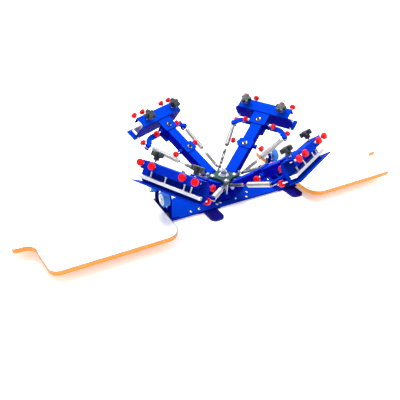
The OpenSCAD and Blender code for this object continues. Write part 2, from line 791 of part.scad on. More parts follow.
module screen_clamp(a) color(blue) on_arm(a) difference() {
    union() {
        along(web_u, web_u + sheet) translate([0, clamp_top - clamp_h / 2]) {
            round_rect(web_len, clamp_h, web_corner_r);
        }
        translate([0, -top_flange_len / 2, 0]) {
            translate([web_u, 0, clamp_top - sheet]) cube([flange_depth, top_flange_len, sheet]);
            translate([flange_end - sheet, 0, clamp_top - lip_h]) cube([sheet, top_flange_len, lip_h]);
        }
        translate([web_u, -low_flange_len / 2, clamp_low]) cube([flange_depth, low_flange_len, sheet]);
        for (s = [-1, 1]) translate([screw_line_u, s * star_spread / 2, 0]) {
            translate([0, 0, clamp_top - sheet - weld_nut_t]) {
                cylinder(d = weld_nut_d, h = weld_nut_t + 1, $fn = 6);
            }
            translate([0, 0, clamp_top - 1]) cylinder(d = weld_nut_d + 2, h = clamp_washer_t + 1);
        }
        translate([0, 0, tongue_n]) linear_extrude(plate_t) difference() {
            translate([(tongue_u + web_u) / 2 + tongue_corner_r, 0]) {
                round_rect(web_u - tongue_u + 2 * tongue_corner_r, 2 * tongue_half_w, tongue_corner_r);
            }
            translate([web_u + 1, -tongue_half_w - 1]) {
                square([3 * tongue_corner_r, 2 * tongue_half_w + 2]);
            }
        }
        for (s = [0, 1]) mirror([0, s, 0]) {
            across(tongue_half_w - cheek_plate_t, tongue_half_w) {
                translate([cheek_plate_u, cheek_plate_low]) {
                    square([cheek_plate_len, tongue_n + 1 - cheek_plate_low]);
                }
            }
            translate([head_screw_u, 0, 0]) rod_across(2 * boss_r, tongue_half_w - 1, boss_out);
        }
    }
    translate([head_bolt_u, 0, tongue_n - 1]) linear_extrude(plate_t + 2) {
        for (s = [-1, 1]) translate([0, s * shift_travel]) circle(d = socket_shank_d + 2 * slip);
        square([socket_shank_d + 2 * slip, 2 * shift_travel], center = true);
    }
    for (s = [0, 1]) mirror([0, s, 0]) translate([head_screw_u, 0, 0]) {
        rod_across(thumb_shank_d + 2 * running, tongue_half_w - cheek_plate_t - 1, boss_out + 1);
    }
    for (s = [-1, 1]) translate([screw_line_u, s * star_spread / 2, clamp_top - sheet - weld_nut_t - 1]) {
        cylinder(d = star_screw_d + 2 * running, h = sheet + weld_nut_t + clamp_washer_t + 2);
    }
    for (t = lip_screw_at) translate([0, t, lip_screw_n]) {
        rod_along(thumb_shank_d + 2 * running, flange_end - sheet - 1, flange_end + 1);
    }
}

module lip_screws(a) color(red) on_arm(a) for (t = lip_screw_at) translate([0, t, lip_screw_n]) {
    rod_along(thumb_shank_d, flange_end - sheet - lip_shank_in, flange_end + lip_knob_out);
    translate([flange_end + lip_knob_out, 0, 0]) rotate([0, 90, 0]) thumb_knob(thumb_neck_t);
}

module clamp_bar(a) color(chrome) on_arm(a) translate([screw_line_u, 0, 0]) {
    difference() {
        across(-bar_len / 2, bar_len / 2) translate([0, bar_low + bar_t / 2]) difference() {
            round_rect(bar_w, bar_t, 2);
            for (s = [-1, 1]) translate([s * bar_w / 2, 0]) {
                square([2 * bar_groove_depth, bar_groove_w], center = true);
            }
        }
        for (s = [0, 1]) mirror([0, s, 0]) translate([0, 0, bar_low + bar_t / 2]) {
            rod_across(bar_end_hole_d, bar_len / 2 - bar_end_hole_depth, bar_len / 2 + 1);
        }
    }
    for (t = stud_at) translate([0, t, bar_top]) {
        cylinder(d = stud_d, h = stud_h);
        translate([0, 0, stud_h - stud_nut_t - 2]) cylinder(d = stud_nut_d, h = stud_nut_t, $fn = 6);
        cylinder(d = stud_nut_d, h = 3, $fn = 6);
    }
}

module star_outline(d, lobe_d) {
    circle(d = d - lobe_d);
    for (k = [0:4]) rotate(72 * k) translate([(d - lobe_d) / 2, 0]) circle(d = lobe_d, $fn = 32);
}

module star_knob(a, s) color(black) on_arm(a) translate([screw_line_u, s * star_spread / 2, 0]) {
    knob_n = clamp_top + star_lift;
    translate([0, 0, bar_top + slip]) cylinder(d = star_screw_d, h = knob_n - bar_top);
    translate([0, 0, knob_n]) cylinder(d = star_boss_d, h = star_boss_h + 1);
    translate([0, 0, knob_n + star_boss_h]) {
        linear_extrude(star_head_h - star_top_step) star_outline(star_d, star_lobe_d);
        linear_extrude(star_head_h) {
            star_outline(star_d - 2 * star_top_step, star_lobe_d - 2 * star_top_step);
        }
    }
}

// Tension springs: each is one wire that hooks a horn tip, curls, and runs on through a
// turnbuckle to a spring post

function unit(v) = v / norm(v);

// Ring centres of a spring as [distance along, distance out, turn]
function spring_path(total) =
    let (start = wire_d, ramp = curl_len / curls / 2, body = curl_len,
         rings = curls * curl_rings)
    concat(
        [[0, 0, 0], [start, 0, 0]],
        [for (i = [1:ramp_rings]) let (f = i / ramp_rings)
            [start + ramp * f, curl_r * f, 180 * f]],
        [for (i = [1:rings]) let (f = i / rings)
            [start + ramp + body * f, curl_r, 180 + 360 * curls * f]],
        [for (i = [1:ramp_rings]) let (f = i / ramp_rings)
            [start + ramp + body + ramp * f, curl_r * (1 - f), 180 + 360 * curls + 180 * f]],
        [[total - wire_d, 0, 0], [total, 0, 0]]);

// How far from the axis of a round post of radius r the flat end of a wire stays clear of it
function seat(r, rise) = (r + hook_gap + wire_d / 2 * abs(rise)) / sqrt(1 - rise * rise);

function spring_ends(a, s) =
    let (tip = arm_point(a, [horn_tip[0], s * horn_tip[1], horn_hook_n]),
         up = arm_point(a, [0, 0, 1]) - arm_point(a, [0, 0, 0]),
         c = turn_of(a) + 45 * s,
         post = [spring_post_r * cos(c), spring_post_r * sin(c), s > 0 ? upper_hook_z : lower_hook_z],
         e = unit(post - tip))
    [tip + e * seat(horn_boss_r, e * up), post - e * seat(spring_post_d / 2, e[2])];

function spring_centres(a, s) =
    let (ends = spring_ends(a, s), e = unit(ends[1] - ends[0]),
         x = unit(cross(e, [0, 0, 1])), y = cross(e, x))
    [for (p = spring_path(norm(ends[1] - ends[0])))
        ends[0] + e * p[0] + (x * cos(p[2]) + y * sin(p[2])) * p[1]];

// The least clear gap between one curl and the next, measured on the ring centres
function spring_gap(c) =
    min([for (i = [0:len(c) - 1], j = [i + curl_rings - 2:1:len(c) - 1]) norm(c[i] - c[j])]) - wire_d;

module spring(a, s) {
    ends = spring_ends(a, s);
    e = unit(ends[1] - ends[0]);
    x = unit(cross(e, [0, 0, 1]));
    y = cross(e, x);
    path = spring_path(norm(ends[1] - ends[0]));
    centres = spring_centres(a, s);
    count = len(centres);
    points = [for (i = [0:count - 1])
        let (t = unit(centres[min(i + 1, count - 1)] - centres[max(i - 1, 0)]),
             out = x * cos(path[i][2]) + y * sin(path[i][2]),
             n = i < 2 || i > count - 3 ? out : unit(out - t * (out * t)),
             m = i < 2 || i > count - 3 ? cross(e, n) : cross(t, n))
        for (k = [0:wire_sides - 1])
            centres[i] + (n * cos(360 * k / wire_sides) + m * sin(360 * k / wire_sides)) * wire_d / 2];
    sides = [for (i = [0:count - 2], k = [0:wire_sides - 1])
        let (k2 = (k + 1) % wire_sides, p = i * wire_sides, q = (i + 1) * wire_sides)
        each [[p + k, q + k, q + k2], [p + k, q + k2, p + k2]]];
    last = (count - 1) * wire_sides;
    caps = [for (k = [1:wire_sides - 2]) each [[0, k, k + 1], [last, last + k + 1, last + k]]];
    polyhedron(points = points, faces = concat(sides, caps));
}

// Turnbuckle on the straight end of a spring: a turned barrel with a window through it
module turnbuckle(a, s) {
    ends = spring_ends(a, s);
    e = unit(ends[0] - ends[1]);
    translate(ends[1]) rotate([0, acos(e[2]), atan2(e[1], e[0])]) translate([0, 0, buckle_end]) {
        difference() {
            rotate_extrude() polygon([
                [buckle_bore / 2, 0], [buckle_d / 2 - buckle_taper, 0], [buckle_d / 2, buckle_taper],
                [buckle_d / 2, buckle_len - buckle_taper],
                [buckle_d / 2 - buckle_taper, buckle_len], [buckle_bore / 2, buckle_len]]);
            translate([-buckle_d, -buckle_slot[0] / 2, (buckle_len - buckle_slot[1]) / 2]) {
                cube([2 * buckle_d, buckle_slot[0], buckle_slot[1]]);
            }
        }
    }
}

module springs(a) color(chrome) for (s = [-1, 1]) {
    spring(a, s);
    turnbuckle(a, s);
}

spring_gaps = [for (a = [0:3], s = [-1, 1]) spring_gap(spring_centres(a, s))];
echo(least_spring_gap_mm = min(spring_gaps));

base_beam();
outrigger_feet();
beam_bolts();
pallet_left();
pallet_right();
pallet_support_left();
pallet_support_right();
gate_bracket_left();
gate_bracket_right();
gate_axles();
gate_blocks();
turret_pedestal();
centre_post();
thrust_bearing();
post_nut();
turret_head();
top_disc();
dome_bolts();
pivot_pins();
spring_posts();
for (i = [0:3]) {
    gate_roller(i);
    arm_tube(i);
    horn_bracket(i);
    arm_screws(i);
    springs(i);
    screen_clamp(i);
    lip_screws(i);
    clamp_bar(i);
    star_knob(i, -1);
    star_knob(i, 1);
}
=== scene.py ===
import math

import bpy
from mathutils import Matrix, Vector


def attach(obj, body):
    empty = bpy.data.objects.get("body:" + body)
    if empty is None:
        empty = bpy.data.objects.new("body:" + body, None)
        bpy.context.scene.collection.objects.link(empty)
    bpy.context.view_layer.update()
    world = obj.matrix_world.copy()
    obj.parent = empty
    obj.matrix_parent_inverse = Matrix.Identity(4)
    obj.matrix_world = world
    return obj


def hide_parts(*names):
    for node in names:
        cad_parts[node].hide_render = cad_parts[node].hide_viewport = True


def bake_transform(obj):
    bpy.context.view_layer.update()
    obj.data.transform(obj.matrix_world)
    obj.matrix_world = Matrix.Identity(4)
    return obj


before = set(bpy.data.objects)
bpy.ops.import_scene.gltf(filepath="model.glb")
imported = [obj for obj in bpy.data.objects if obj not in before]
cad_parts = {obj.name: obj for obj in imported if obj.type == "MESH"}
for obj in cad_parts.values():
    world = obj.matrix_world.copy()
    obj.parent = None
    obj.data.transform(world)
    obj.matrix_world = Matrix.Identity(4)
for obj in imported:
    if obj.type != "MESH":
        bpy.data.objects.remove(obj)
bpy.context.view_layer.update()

# The camera looks down on the press from its front left, from above the raised arms, as in
# the photograph. Its place and angles were fitted to points read there.
turn, tilt, roll = 0.532, 0.569, 0.04
focal_pixels, photo_pixels, sensor_width = 454.76, 400, 36
camera_x, camera_y, camera_z = -0.9223, -1.3823, 1.0455
ahead = Vector((math.sin(turn) * math.cos(tilt), math.cos(turn) * math.cos(tilt),
                -math.sin(tilt)))
level = Vector((math.cos(turn), -math.sin(turn), 0))
upright = level.cross(ahead)
across = level * math.cos(roll) + upright * math.sin(roll)
over = upright * math.cos(roll) - level * math.sin(roll)
camera_data = bpy.data.cameras.new("camera")
camera_data.sensor_width = sensor_width
camera_data.lens = focal_pixels / photo_pixels * sensor_width
camera_data.clip_end = 20
camera = bpy.data.objects.new("camera", camera_data)
bpy.context.scene.collection.objects.link(camera)
camera.matrix_world = Matrix((
    (across.x, over.x, -ahead.x, camera_x),
    (across.y, over.y, -ahead.y, camera_y),
    (across.z, over.z, -ahead.z, camera_z),
    (0, 0, 0, 1)))
bpy.context.scene.camera = camera

# Three wide round lamps light the press softly: a strong one overhead, a weak one from the
# right and one from behind. They aren't part of it.
for name, place, aim, size, watts in (
        ("lamp_high", (-0.5, 0.2, 2.5), (0.0, 0.0, 0.1), 1.4, 62),
        ("lamp_right", (1.9, -1.2, 1.5), (0.1, 0.0, 0.1), 1.2, 10),
        ("lamp_back", (0.3, 2.2, 1.7), (0.0, 0.0, 0.1), 1.6, 24)):
    light = bpy.data.lights.new(name, "AREA")
    light.shape = "DISK"
    light.size = size
    light.energy = watts
    lamp = bpy.data.objects.new(name, light)
    lamp.location = place
    lamp.rotation_euler = (Vector(aim) - Vector(place)).to_track_quat("-Z", "Y").to_euler()
    bpy.context.scene.collection.objects.link(lamp)

# The sky is brightest overhead and grey towards the horizon, which gives the bare metal
# something darker to reflect.
horizon_grey, overhead_white = (0.16, 0.17, 0.19, 1), (0.98, 0.99, 1.0, 1)
grey_below, white_above, sky_strength = 0.10, 0.62, 1.5
sky = bpy.data.worlds.new("sky")
sky.use_nodes = True
sky_parts = sky.node_tree.nodes
sky_place = sky_parts.new("ShaderNodeTexCoord")
sky_split = sky_parts.new("ShaderNodeSeparateXYZ")
sky_ramp = sky_parts.new("ShaderNodeValToRGB")
low_stop, high_stop = sky_ramp.color_ramp.elements
low_stop.position, low_stop.color = grey_below, horizon_grey
high_stop.position, high_stop.color = white_above, overhead_white
sky.node_tree.links.new(sky_place.outputs["Generated"], sky_split.inputs["Vector"])
sky.node_tree.links.new(sky_split.outputs["Z"], sky_ramp.inputs["Fac"])
sky.node_tree.links.new(sky_ramp.outputs["Color"], sky_parts["Background"].inputs["Color"])
sky_parts["Background"].inputs["Strength"].default_value = sky_strength
bpy.context.scene.world = sky
bpy.context.scene.view_settings.view_transform = "Standard"

# The bench top is a plain pale sheet, much wider than the press, that glows faintly so that
# shadows stay soft. It isn't part of the press.


class Value:
    """A number, colour or vector that a finish works out, with the operators it needs."""

    def __init__(self, finish, socket):
        self.finish = finish
        self.socket = socket

    def maths(self, operation, first, second):
        return self.finish.add("Math", {"operation": operation}, {0: first, 1: second})

    def __add__(self, other):
        return self.maths("ADD", self, other)

    def __radd__(self, other):
        return self.maths("ADD", other, self)

    def __sub__(self, other):
        return self.maths("SUBTRACT", self, other)

    def __rsub__(self, other):
        return self.maths("SUBTRACT", other, self)

    def __mul__(self, other):
        return self.maths("MULTIPLY", self, other)

    def __rmul__(self, other):
        return self.maths("MULTIPLY", other, self)

    def __gt__(self, other):
        return self.maths("GREATER_THAN", self, other)

    def __lt__(self, other):
        return self.maths("LESS_THAN", self, other)


class Finish:
    """A material built node by node around one surface shader."""

    def __init__(self, name):
        self.material = bpy.data.materials.new(name)
        self.material.use_nodes = True
        self.tree = self.material.node_tree
        self.tree.nodes.clear()
        self.place = self.add("TexCoord", out="Object")

    def add(self, kind, settings=None, sockets=None, out=0):
        """Makes a node: first its settings, then a link or a constant for each socket."""
        node = self.tree.nodes.new("ShaderNode" + kind)
        for key, setting in (settings or {}).items():
            if key == "stops":
                for element, (position, colour) in zip(node.color_ramp.elements, setting):
                    element.position = position
                    element.color = (*colour, 1)
            else:
                setattr(node, key, setting)
        for key, value in (sockets or {}).items():
            if isinstance(key, int):
                socket = node.inputs[key]
            else:
                socket = next(s for s in node.inputs if s.enabled and s.name == key)
            if isinstance(value, Value):
                self.tree.links.new(value.socket, socket)
            elif socket.type == "RGBA" and len(value) == 3:
                socket.default_value = (*value, 1)
            else:
                socket.default_value = value
        return Value(self, node.outputs[out]) if len(node.outputs) else None

    def noise(self, scale, detail=3.0, stretch=None):
        """Soft noise over the object. A large stretch squeezes it along that axis."""
        where = self.place
        if stretch:
            where = self.add("Mapping", None, {"Vector": where, "Scale": stretch})
        return self.add("TexNoise", None, {"Vector": where, "Scale": scale, "Detail": detail},
                        out="Fac")

    def mix(self, factor, first, second):
        return self.add("Mix", {"data_type": "RGBA"},
                        {"Factor": factor, "A": first, "B": second}, out=2)

    def bump(self, height, strength, depth):
        return self.add("Bump", None,
                        {"Height": height, "Strength": strength, "Distance": depth})

    def surface(self, **sockets):
        """Ends the finish in a shader, whose sockets are named in small letters."""
        names = {key.replace("_", " ").title().replace("Ior", "IOR"): value
                 for key, value in sockets.items()}
        shader = self.add("BsdfPrincipled", None, names)
        self.add("OutputMaterial", None, {"Surface": shader})
        return self.material


bench_half = 6
bench_corners = [(-bench_half, -bench_half, 0), (bench_half, -bench_half, 0),
                 (bench_half, bench_half, 0), (-bench_half, bench_half, 0)]
bench_mesh = bpy.data.meshes.new("bench_top")
bench_mesh.from_pydata(bench_corners, [], [(0, 1, 2, 3)])
bench = bpy.data.objects.new("bench_top", bench_mesh)
bpy.context.scene.collection.objects.link(bench)
pale = Finish("bench_pale")
bench_mesh.materials.append(pale.surface(
    base_color=pale.mix(pale.noise(3.0), (0.93, 0.94, 0.95), (0.97, 0.97, 0.975)),
    roughness=0.75, emission_color=(1.0, 1.0, 1.0, 1.0), emission_strength=0.3))

# Blue powder coat covers the folded and welded steel: beam, supports, gates, turret head, arms
# and clamps. It has the fine orange peel of baked powder and is rubbed duller in patches. Light
# and shade are painted into its blue: a lighter painted-lit blue on faces that look up, a deeper
# painted-shade blue on the sides.
arms = {"back_right": (27.0, 34.6), "back_left": (117.0, 33.0),
        "front_left": (207.0, 29.8), "front_right": (297.0, 38.9)}


def dress(finish, *nodes):
    """Gives a finish to solids whose shape is already right."""
    for node in nodes:
        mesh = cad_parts[node].data
        if not mesh.materials:
            mesh.materials.append(finish)
        for index in range(len(mesh.materials)):
            mesh.materials[index] = finish


coat = Finish("blue_powder_coat_painted_light")
peel = coat.noise(900.0, detail=2.0)
rub = coat.noise(14.0, detail=5.0)
dust = coat.add("ValToRGB", {"stops": [(0.52, (0, 0, 0)), (0.78, (1, 1, 1))]},
                {"Fac": coat.noise(46.0, detail=6.0)})
# Painted light and shade: the share of the painted-lit blue grows as a face looks up, and the
# sides keep the painted-shade blue.
upward = coat.add("SeparateXYZ", None, {"Vector": coat.add("NewGeometry", out="Normal")}, out="Z")
painted_top_light_share = coat.add("MapRange", None, {"Value": upward, "From Min": 0.25, "From Max": 0.85})
painted_shade_tone = coat.mix(rub, (0.002, 0.0005, 0.20), (0.001, 0.002, 0.29))
painted_lit_tone = coat.mix(rub, (0.0, 0.026, 0.40), (0.0, 0.046, 0.52))
painted_light_tone = coat.mix(painted_top_light_share, painted_shade_tone, painted_lit_tone)
blue_coat_painted_light = coat.surface(
    base_color=coat.mix(dust * 0.08, painted_light_tone, (0.03, 0.12, 0.60)),
    roughness=0.36 + rub * 0.18,
    normal=coat.bump(peel, strength=0.12, depth=0.0004),
    ior=1.04)
dress(blue_coat_painted_light, "base_beam", "pallet_support_left", "pallet_support_right", "gate_bracket_left",
      "gate_bracket_right", "turret_pedestal", "turret_head")
for arm in arms:
    dress(blue_coat_painted_light, "arm_tube_" + arm, "horn_bracket_" + arm, "screen_clamp_" + arm)

# The feet are plain plates bolted under the beam. Their blue is painted darker and flatter than
# the beam's as painted shade, for the shade that the beam and the pallets cast on them.
feet = Finish("foot_paint_painted_shade")
scuff = feet.noise(30.0, detail=5.0)
foot_coat_painted_shade = feet.surface(
    base_color=feet.mix(scuff, (0.004, 0.001, 0.12), (0.006, 0.004, 0.22)),
    roughness=0.42 + scuff * 0.15,
    normal=feet.bump(feet.noise(700.0, detail=2.0), strength=0.15, depth=0.0004),
    specular_ior_level=0.25, specular_tint=(0.30, 0.45, 1.0, 1.0))
dress(foot_coat_painted_shade, "outrigger_feet")

# Each pallet is a wood board with white laminate on top. Its sawn edge is left bare and
# shows orange layers under a thin white line.
laminate_level, level_face = 0.0618, 0.5
board = Finish("laminated_board")
height = board.add("SeparateXYZ", None, {"Vector": board.place}, out="Z")
facing = board.add("SeparateXYZ", None,
                   {"Vector": board.add("NewGeometry", out="Normal")}, out="Z")
laminate = (height > laminate_level) + (facing > level_face)
grain = board.noise(16.0, detail=6.0, stretch=(1.0, 1.0, 40.0))
pores = board.noise(260.0, detail=4.0, stretch=(1.0, 1.0, 3.0))
wood = board.mix(grain, (0.66, 0.20, 0.006), (0.80, 0.32, 0.02))
wood = board.mix(pores * 0.35, wood, (0.40, 0.11, 0.006))
sheet_white = board.mix(board.noise(5.0), (0.90, 0.905, 0.91), (0.95, 0.95, 0.955))
board_finish = board.surface(
    base_color=board.mix(laminate, wood, sheet_white),
    roughness=0.62 - laminate * 0.27,
    normal=board.bump(pores * (1.0 - laminate), strength=0.35, depth=0.0006))
dress(board_finish, "pallet_left", "pallet_right")

# Bolts, pins, nuts and washers are steel with bright zinc plate, turned or pressed, with
# faint tool marks round them.
zinc = Finish("bright_zinc")
marks = zinc.noise(420.0, stretch=(1.0, 1.0, 5.0))
zinc_plate = zinc.surface(
    base_color=zinc.mix(marks, (0.56, 0.58, 0.62), (0.84, 0.86, 0.89)),
    metallic=1.0, roughness=0.16 + marks * 0.16,
    normal=zinc.bump(marks, strength=0.08, depth=0.0003))
dress(zinc_plate, "beam_bolts", "gate_axles", "post_nut", "dome_bolts", "pivot_pins")

# The centre post, its thrust ring and the spring posts are turned from plain steel and
# oiled. The turret goes round the centre post, on the thrust ring.
turned = Finish("turned_steel")
rings = turned.noise(90.0, detail=4.0, stretch=(1.0, 1.0, 30.0))
turned_steel = turned.surface(
    base_color=turned.mix(rings, (0.26, 0.27, 0.29), (0.52, 0.53, 0.55)),
    metallic=1.0, roughness=0.24 + rings * 0.2,
    normal=turned.bump(rings, strength=0.12, depth=0.0004))
dress(turned_steel, "centre_post", "thrust_bearing", "spring_posts")

# The lobed disc on top of the turret is a dark green-grey casting, ground flat on its face.
# Four dome bolts hold it to the turret head.
disc = Finish("cast_disc")
sand = disc.noise(180.0, detail=5.0)
patina = disc.noise(22.0, detail=5.0)
cast_finish = disc.surface(
    base_color=disc.mix(patina, (0.002, 0.024, 0.025), (0.008, 0.058, 0.056)),
    metallic=0.3, roughness=0.30 + patina * 0.25, specular_ior_level=0.4,
    normal=disc.bump(sand, strength=0.35, depth=0.0008))
dress(cast_finish, "top_disc")

# The lower blocks of the gates are moulded black plastic with a fine grain. The black latch
# plates
# beside them are painted shade: dark plates set where the hub side of each upright lies in
# shadow.
# All are fixed to the gate brackets, and the star knobs have the same finish.
moulded = Finish("black_moulding")
skin = moulded.noise(800.0, detail=2.0)
wear = moulded.noise(35.0, detail=5.0)
black_plastic = moulded.surface(
    base_color=moulded.mix(wear, (0.003, 0.006, 0.009), (0.014, 0.022, 0.030)),
    roughness=0.28 + wear * 0.2,
    normal=moulded.bump(skin, strength=0.2, depth=0.0003),
    specular_ior_level=0.35, coat_weight=0.12, coat_roughness=0.2)
dress(black_plastic, "gate_blocks")

# The four gate rollers are rubber tyres on cast aluminium wheels, each on its own axle. A
# lowered arm passes between the two of a gate, which centre it over its pallet.


def piece(name, body, points, faces, finish, place=None, crease=38):
    """A mesh in millimetres, set in place and given to the body that carries it. Edges that
    turn by more than crease, in degrees, stay sharp."""
    mesh = bpy.data.meshes.new(name)
    mesh.from_pydata([tuple(Vector(p) * 0.001) for p in points], [], faces)
    if place is not None:
        mesh.transform(place)
    mesh.materials.append(finish)
    mesh.validate()
    mesh.shade_smooth()
    mesh.set_sharp_from_angle(angle=math.radians(crease))
    thing = bpy.data.objects.new(name, mesh)
    bpy.context.scene.collection.objects.link(thing)
    if body:
        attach(thing, body)
    return thing


def turned_form(profile, sides=48):
    """Points and faces of a closed profile of (radius, height), turned about Z."""
    points, faces = [], []
    count = len(profile)
    for step in range(sides):
        angle = 2 * math.pi * step / sides
        for radius, z in profile:
            points.append((radius * math.cos(angle), radius * math.sin(angle), z))
    for step in range(sides):
        after = (step + 1) % sides
        for i in range(count):
            j = (i + 1) % count
            faces.append((step * count + i, after * count + i,
                          after * count + j, step * count + j))
    return points, faces


rubber = Finish("blue_tyre")
scrub = rubber.noise(160.0, detail=5.0)
tyre_rubber = rubber.surface(
    base_color=rubber.mix(scrub, (0.003, 0.10, 0.48), (0.02, 0.20, 0.66)),
    roughness=0.55 + scrub * 0.2, normal=rubber.bump(scrub, strength=0.3, depth=0.0006))
metal = Finish("wheel_aluminium")
lathe_marks = metal.noise(60.0, detail=4.0, stretch=(30.0, 1.0, 1.0))
wheel_metal = metal.surface(
    base_color=metal.mix(lathe_marks, (0.62, 0.64, 0.67), (0.86, 0.87, 0.89)),
    metallic=1.0, roughness=0.2 + lathe_marks * 0.2,
    normal=metal.bump(lathe_marks, strength=0.1, depth=0.0004))
tyre_profile = [(22, 0), (25, 0), (27.6, 0.6), (29.3, 2.0), (30, 4.2), (30, 11), (29.4, 11.8),
                (29.4, 13.2), (30, 14), (30, 20.8), (29.3, 23), (27.6, 24.4), (25, 25), (22, 25)]
wheel_profile = [(5.05, 0), (9.2, 0), (10, 0.8), (10, 6.5), (11.2, 7.5), (17, 7.5), (18, 6.5),
                 (18.2, 0.8), (18.8, 0), (22, 0), (22, 25), (18.8, 25), (18.2, 24.2), (18, 18.5),
                 (17, 17.5), (11.2, 17.5), (10, 18.5), (10, 24.2), (9.2, 25), (5.05, 25)]
roller_inner_face, roller_axle_out, roller_axle_height = 0.288, 0.059, 0.112
for corner, side, hand in (("right_back", 1, 1), ("left_back", -1, 1),
                           ("left_front", -1, -1), ("right_front", 1, -1)):
    middle = Matrix.Translation((side * roller_inner_face, hand * roller_axle_out,
                                 roller_axle_height))
    stand = middle @ Matrix.Rotation(side * math.pi / 2, 4, "Y")
    wheel = piece("roller_wheel_" + corner, "roller_" + corner, *turned_form(wheel_profile),
                  wheel_metal, stand)
    tyre = piece("roller_tyre_" + corner, "roller_" + corner, *turned_form(tyre_profile),
                 tyre_rubber, stand)
    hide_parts("gate_roller_" + corner)

# Red thumb screws press on an arm's collar and head from both sides, and one more stands at
# each tip of the horns. Each is a moulded red knob with a grooved rim on a zinc screw. Places
# on an arm are measured in millimetres along, across and up from its centre line.
pivot_out, pivot_height = 0.066, 0.0936


def arm_place(arm):
    """Where an arm's own directions lie when it is raised, from its pivot pin."""
    azimuth, raised = (math.radians(angle) for angle in arms[arm])
    return (Matrix.Rotation(azimuth, 4, "Z") @ Matrix.Translation((pivot_out, 0, pivot_height))
            @ Matrix.Rotation(-raised, 4, "Y"))


def at(u, t, n):
    """A place on an arm: u along it, t across it and n up."""
    return Matrix.Translation((u, t, n))


def disc_form(profile, sides=48, wave=None):
    """As turned_form, for a profile that starts and ends on the axis. wave gives a length to
    add to the radius at each angle, and a point's third number is its share of that."""
    points, faces = [(0, 0, profile[0][1]), (0, 0, profile[-1][1])], []
    inner = profile[1:-1]
    count = len(inner)
    for step in range(sides):
        angle = 2 * math.pi * step / sides
        extra = wave(angle) if wave else 0.0
        for radius, z, *share in inner:
            reach = radius + extra * (share[0] if share else 0.0)
            points.append((reach * math.cos(angle), reach * math.sin(angle), z))
    for step in range(sides):
        a, b = 2 + step * count, 2 + (step + 1) % sides * count
        faces.append((0, b, a))
        faces.append((1, a + count - 1, b + count - 1))
        for i in range(count - 1):
            faces.append((a + i, b + i, b + i + 1, a + i + 1))
    return points, faces


def gathered(parts):
    """Joins several (points, faces, matrix) into one list of points and one of faces."""
    points, faces = [], []
    for some, more, matrix in parts:
        start = len(points)
        points += [matrix @ Vector(p) for p in some]
        faces += [tuple(start + i for i in face) for face in more]
    return points, faces


def grooves(angle):
    """How far a thumb knob's rim lies inside its crests: ten grooves, 1.1 mm deep."""
    return -1.1 * (1 - abs(math.cos(5 * angle))) ** 2


def screw_rod(radius, start, end, pitch=1.0):
    """A rod along Z with a rolled thread: rings that swell and narrow once a pitch."""
    turns = max(2, int((end - start) / pitch))
    step = (end - start) / turns
    chamfer, groove = radius - 0.5, radius - 0.35
    profile = [(0, start), (chamfer, start)]
    for k in range(turns):
        profile.append((radius, start + (k + 0.35) * step))
        profile.append((groove, start + (k + 0.85) * step))
    profile += [(chamfer, end), (0, end)]
    return disc_form(profile, 20)


glossy = Finish("red_moulding")
flow = glossy.noise(24.0, detail=4.0)
red_plastic = glossy.surface(
    base_color=glossy.mix(flow, (0.62, 0.0, 0.001), (0.80, 0.001, 0.003)),
    roughness=0.26 + flow * 0.14,
    normal=glossy.bump(glossy.noise(500.0, detail=2.0), strength=0.06, depth=0.0003),
    specular_ior_level=0.3, specular_tint=(1.0, 0.35, 0.35, 1.0), coat_weight=0.06,
    coat_roughness=0.15)
thumb_profile = [(0, -5), (6.4, -5), (7, -4.4), (7, -0.6), (7.6, 0.0, 0.1), (11.6, 0.2, 0.6),
                 (12.7, 1.2, 1.0), (13, 2.4, 1.0), (13, 9.4, 1.0), (12.6, 10.8, 1.0),
                 (11.4, 11.8, 0.7), (9.6, 12.0, 0.2), (8.2, 11.4), (4.6, 11.2), (4.2, 11.9),
                 (2.0, 12.0), (0, 12.0)]
thumb_knob = disc_form(thumb_profile, 60, grooves)
thumb_thread = 3.0
along_arm = Matrix.Rotation(math.pi / 2, 4, "Y")
to_left = Matrix.Rotation(-math.pi / 2, 4, "X")
to_right = Matrix.Rotation(math.pi / 2, 4, "X")
collar_u, head_u, side_knob, side_rod, side_rod_length = 153.5, 273.5, 65, 26.3, 36
horn_out, horn_screw_level, horn_knob, horn_rod = 129, -37, 276, (244, 313.2)
for arm in arms:
    place = arm_place(arm)
    knobs, rods = [], []
    for u in (collar_u, head_u):
        for hand, sideways in ((1, to_left), (-1, to_right)):
            knobs.append((*thumb_knob, at(u, hand * side_knob, 0) @ sideways))
            rods.append((*screw_rod(thumb_thread, 0, side_rod_length),
                         at(u, hand * side_rod, 0) @ sideways))
    for hand in (1, -1):
        knobs.append((*thumb_knob, at(horn_knob, hand * horn_out, horn_screw_level) @ along_arm))
        rods.append((*screw_rod(thumb_thread, *horn_rod),
                     at(0, hand * horn_out, horn_screw_level) @ along_arm))
    red = piece("arm_knobs_" + arm, "arm_" + arm, *gathered(knobs), red_plastic, place)
    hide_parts("arm_screws_" + arm)
    screws = piece("arm_knob_screws_" + arm, "arm_" + arm, *gathered(rods), zinc_plate, place)

# Two socket screws go down into each arm, one at its collar and one in its head. Screw and
# flat washer are blackened steel, and a zinc plated ring lies round the screw's head.
dark_steel = Finish("black_oxide")
oxide = dark_steel.noise(200.0, detail=4.0)
black_oxide = dark_steel.surface(
    base_color=dark_steel.mix(oxide, (0.010, 0.011, 0.014), (0.04, 0.042, 0.05)),
    metallic=0.7, roughness=0.28 + oxide * 0.2)
socket_profile = [(0, 3.7), (3.4, 3.7), (3.5, 7.2), (4.0, 7.7), (6.4, 7.7), (7, 7.1), (7, 1.7),
                  (0, 1.7)]
socket_thread, socket_rod = 4.0, (-14, 1.9)
washer_profile = [(4.3, 0), (11.4, 0), (12, 0.5), (12, 1.2), (11.4, 1.7), (4.3, 1.7)]
head_ring_profile = [(7.1, 1.7), (8.8, 1.7), (9.2, 2.1), (9.2, 3.2), (8.8, 3.6), (7.1, 3.6)]
collar_socket, head_socket = (144, 24.0), (276, 24.6)
